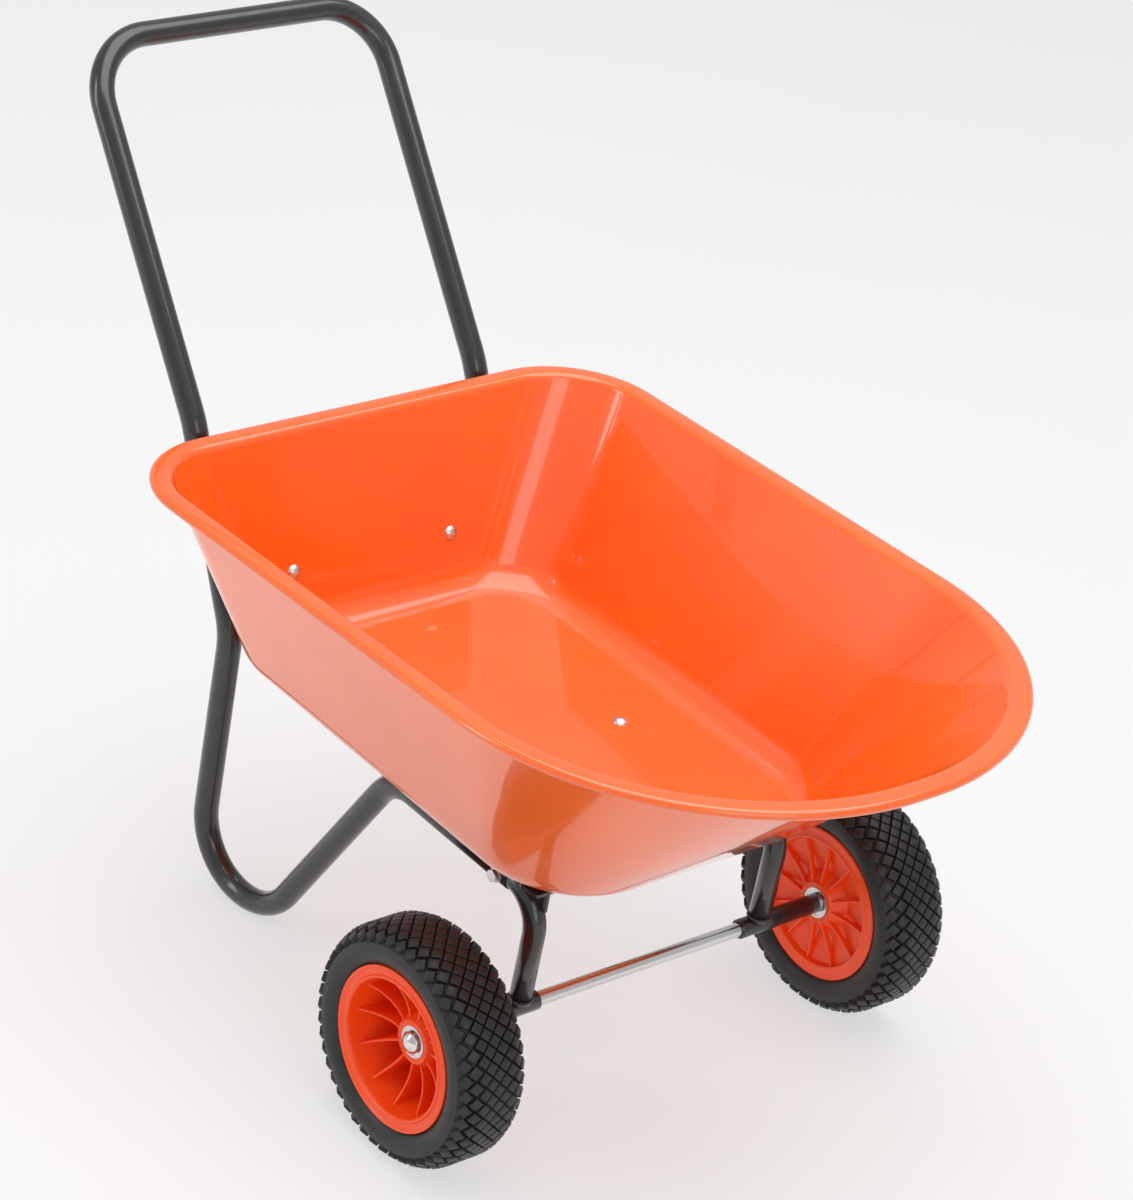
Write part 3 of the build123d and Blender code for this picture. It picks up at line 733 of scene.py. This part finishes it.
def stud_places():
    """Matrices of all studs on a tyre, with every other row half a stud further round."""
    places = []
    for row, across in enumerate(STUD_ROWS):
        slope = -2 * TREAD_FALL * copysign(past_flat(across), across)
        foot = Vector((tread_radius(across) * MM, 0, across * MM))
        stand = Matrix.Translation(foot) @ Matrix.Rotation(pi / 2 + atan2(slope, 1), 4, "Y")
        for index in range(STUDS_ROUND):
            turn = 2 * pi * (index + 0.5 * (row % 2)) / STUDS_ROUND
            places.append(Matrix.Rotation(turn, 4, "Z") @ stand)
    return places


def tyre(side):
    """Tyre with its studs, on its axle."""
    bm = tyre_carcass()
    add_copies(bm, stud(), stud_places())
    bmesh.ops.transform(bm, matrix=wheel_place(side), verts=bm.verts)
    return bm


def rim_body():
    """Rim without ribs: flanges with two beads and a groove, barrel, leaning web and conical hub."""
    outer_flange = [
        (SEAT_R, 33), (87.6, 33), (88.7, 33.6), (89, 35), (89, 36.4), (88.5, 37.4), (87.4, 37.6),
        (86.4, 37.2), (85.6, 36.2), (84.4, 35.4), (82, 34.8), (80, 34.8), (78.6, 35.4), (77.9, 36.6),
        (77, 37.4), (75.6, 37.5), (74.6, 36.8), (74, 35.4), (73.4, 31)]
    outer_web = [(71.6, -21), (70, -24), (66, -24.6), (40, -18.5), (36.5, -16)]
    outer_hub = [(33, -8), (28.5, 2), (25, 8), (23.5, 10), (21.5, 10.2), (20.3, 9.4), (17.6, 9.4)]
    bore_end = [(17.6, -37.4), (20.3, -37.4), (21.5, -38.2), (23.5, -38)]
    inner_hub = [(25, -35), (31, -30), (35, -26), (37, -24)]
    inner_web = [(66, -29), (70, -29.5), (72, -31), (73, -36)]
    inner_flange = [
        (74, -37.6), (76, -37.8), (78, -36.6), (82, -36), (87, -37.4), (89, -36.4), (89, -34.6),
        (87.5, -33.5), (SEAT_R, -33.5)]
    return revolve(outer_flange + outer_web + outer_hub + bore_end + inner_hub + inner_web + inner_flange)


def rib_height(along):
    """Height of an outboard rib's sagging top, at a distance from the hub."""
    share = along / (RIB_WALL_R - RIB_HUB_R)
    return RIB_HUB_H + (RIB_WALL_H - RIB_HUB_H) * share - 4 * RIB_SAG * share * (1 - share)


def rib(outline, thickness):
    """Thin upright rib from its outline in the wheel's radius and height."""
    bm = bmesh.new()
    near = -thickness / 2 * MM
    face = bm.faces.new([bm.verts.new((radius * MM, near, height * MM)) for radius, height in outline])
    made = bmesh.ops.extrude_face_region(bm, geom=[face])["geom"]
    bmesh.ops.translate(bm, verts=verts_of(made), vec=(0, thickness * MM, 0))
    bmesh.ops.recalc_face_normals(bm, faces=bm.faces)
    round_edges(bm, bm.edges[:], RIB_EDGE_R)
    return bm


def rim(side):
    """Rim with its outboard and inboard ribs, on its axle."""
    bm = rim_body()
    turns = [Matrix.Rotation(2 * pi * index / SPOKES, 4, "Z") for index in range(SPOKES)]
    reach = (RIB_WALL_R - RIB_HUB_R) / RIB_STEPS
    top = [(RIB_HUB_R + reach * step, rib_height(reach * step)) for step in range(RIB_STEPS + 1)]
    outboard = top + [(RIB_WALL_R, -27), (30, -20), (RIB_HUB_R, -20)]
    inboard = [(22, -30), (74, -26), (74, -34.5), (50, -33.5), (22, -36.5)]
    add_copies(bm, rib(outboard, RIB_THICK), turns)
    add_copies(bm, rib(inboard, INNER_RIB_THICK), turns)
    bmesh.ops.transform(bm, matrix=wheel_place(side), verts=bm.verts)
    return bm


for name, side in SIDES.items():
    wheel = f"{name}_wheel"
    piece(f"{name}_tyre_tread", tyre(side), wheel, RUBBER, replaces=[f"{name}_tyre"])
    piece(f"{name}_rim_moulding", rim(side), wheel, PLASTIC, replaces=[f"{name}_rim"])

# ---------------------------------------------------------------- carried-over CAD pieces
FINISHES = {
    "frame_paint": BLACK, "tray_paint": PAINT, "rim_plastic": PLASTIC, "tyre_rubber": RUBBER,
    "axle_steel": ROD, "zinc": ZINC, "bearing_steel": STEEL, "cap_chrome": STEEL,
    "nylon": NYLON}
for part in frame["record"]["subparts"]:
    node = frame["nodes"][part["node"]]
    node.data.materials.clear()
    node.data.materials.append(FINISHES[part["material_slot"]])
    weld = node.modifiers.new("weld", "WELD")
    weld.merge_threshold = 0.02 * MM
    edge = node.modifiers.new("edge", "BEVEL")
    edge.width = 0.4 * MM
    edge.segments = 2
    edge.limit_method = "ANGLE"
    edge.angle_limit = radians(40)

# ---------------------------------------------------------------- floor, light
floor_bm = bmesh.new()
bmesh.ops.create_grid(floor_bm, x_segments=1, y_segments=1, size=12)
floor_mesh = bpy.data.meshes.new("studio_floor")
floor_bm.to_mesh(floor_mesh)
floor_bm.free()
floor = add_object("studio_floor", floor_mesh)
floor_finish = Finish(
    "studio_floor", Roughness=0.9, Specular_IOR_Level=0.1, Emission_Color=(1, 1, 1, 1),
    Emission_Strength=0.60)
floor_finish.two_tone(floor_finish.noise(0.8), (0.30, 0.30, 0.30), (0.31, 0.31, 0.31))
floor_mesh.materials.append(floor_finish.material)

world = bpy.data.worlds.new("studio")
world.use_nodes = True
background = world.node_tree.nodes["Background"]
background.inputs["Color"].default_value = (1, 1, 1, 1)
background.inputs["Strength"].default_value = 0.55
scene.world = world
scene.view_settings.view_transform = "Standard"


def softbox(name, place, target, width, height, power):
    """Rectangular studio light that faces a target."""
    data = bpy.data.lights.new(name, "AREA")
    data.shape = "RECTANGLE"
    data.size = width
    data.size_y = height
    data.energy = power
    lamp = add_object(name, data)
    lamp.location = place
    lamp.rotation_mode = "QUATERNION"
    lamp.rotation_quaternion = (Vector(target) - Vector(place)).to_track_quat("-Z", "Y")


softbox("overhead", place=(0.2, 0.3, 3.2), target=(0, 0, 0.3), width=3.0, height=3.0, power=75)
softbox("front_fill", place=(3.4, -1.2, 1.6), target=(0.2, 0, 0.3), width=1.6, height=2.2, power=20)
softbox("near_strip", place=(-1.6, -3.2, 1.8), target=(-0.2, 0, 0.4), width=0.8, height=2.4, power=25)
